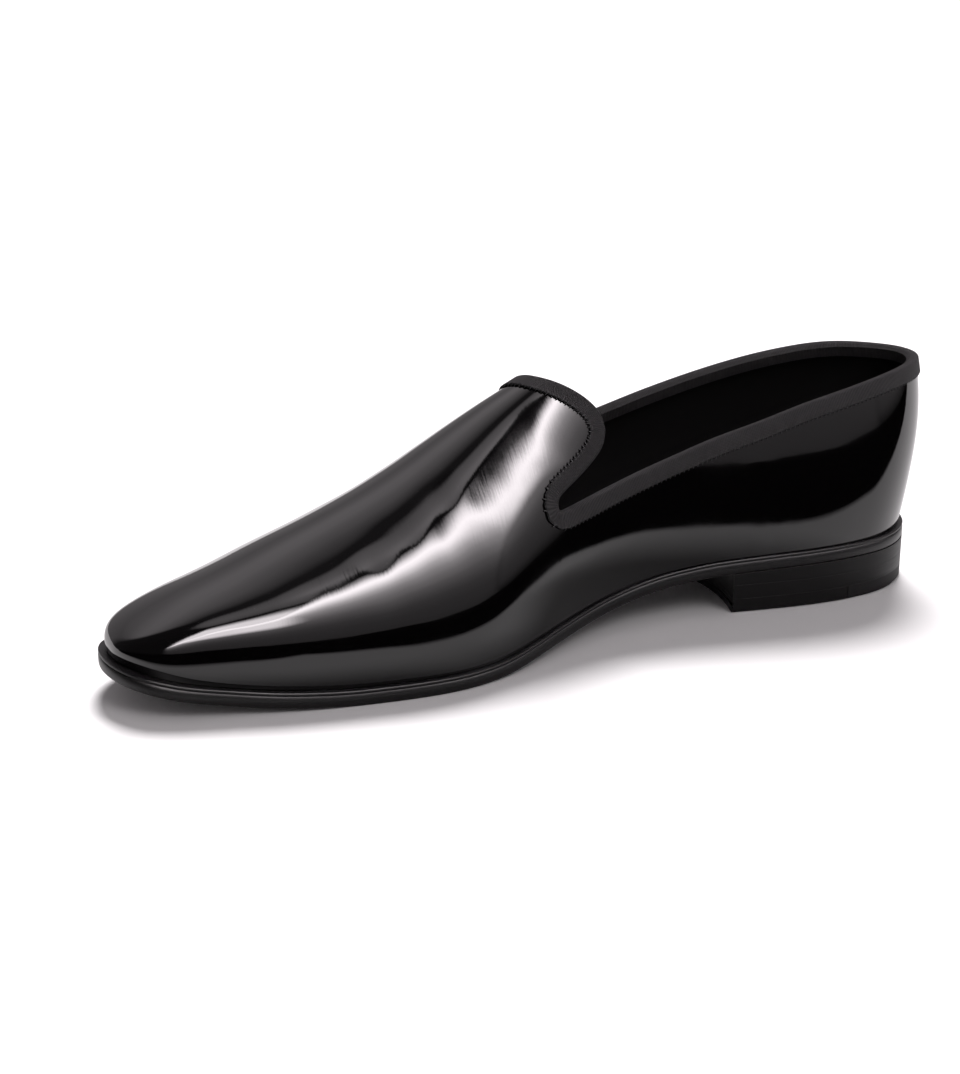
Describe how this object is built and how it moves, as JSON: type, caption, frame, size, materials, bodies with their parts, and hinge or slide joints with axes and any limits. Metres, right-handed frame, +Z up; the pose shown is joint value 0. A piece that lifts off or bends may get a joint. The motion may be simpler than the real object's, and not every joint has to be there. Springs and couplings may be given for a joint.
{
  "type": "opera pump",
  "caption": "Low-cut slip-on dress pump with a rounded instep tab, ribbon-bound opening, thin leather sole and low stacked heel; rests on heel and tread.",
  "frame": {"origin": "bottom centre of the bounding box, on the floor the shoe stands on", "axes": "+X towards the toe, +Y towards the inner side of the foot, +Z up"},
  "size_m": [0.3068, 0.0994, 0.0851],
  "materials": {
    "patent_leather": "black patent, mirror gloss",
    "grosgrain": "black ribbed ribbon, matt",
    "sole_leather": "black painted sole leather, satin",
    "sock_leather": "black lining leather, smooth",
    "lift_leather": "black stacked leather, burnished",
    "lift_rubber": "black heel rubber, matt",
    "nail_brass": "plain nail heads"
  },
  "bodies": {
    "root": {"upper": "patent_leather", "topline_binding": "grosgrain", "outsole": "sole_leather", "insole": "sock_leather", "heel_lift_upper": "lift_leather", "heel_lift_lower": "lift_leather", "top_lift_leather": "lift_leather", "top_lift_rubber": "lift_rubber", "heel_nail_1": "nail_brass", "heel_nail_2": "nail_brass", "heel_nail_3": "nail_brass", "heel_nail_4": "nail_brass"}
  },
  "joints": []
}
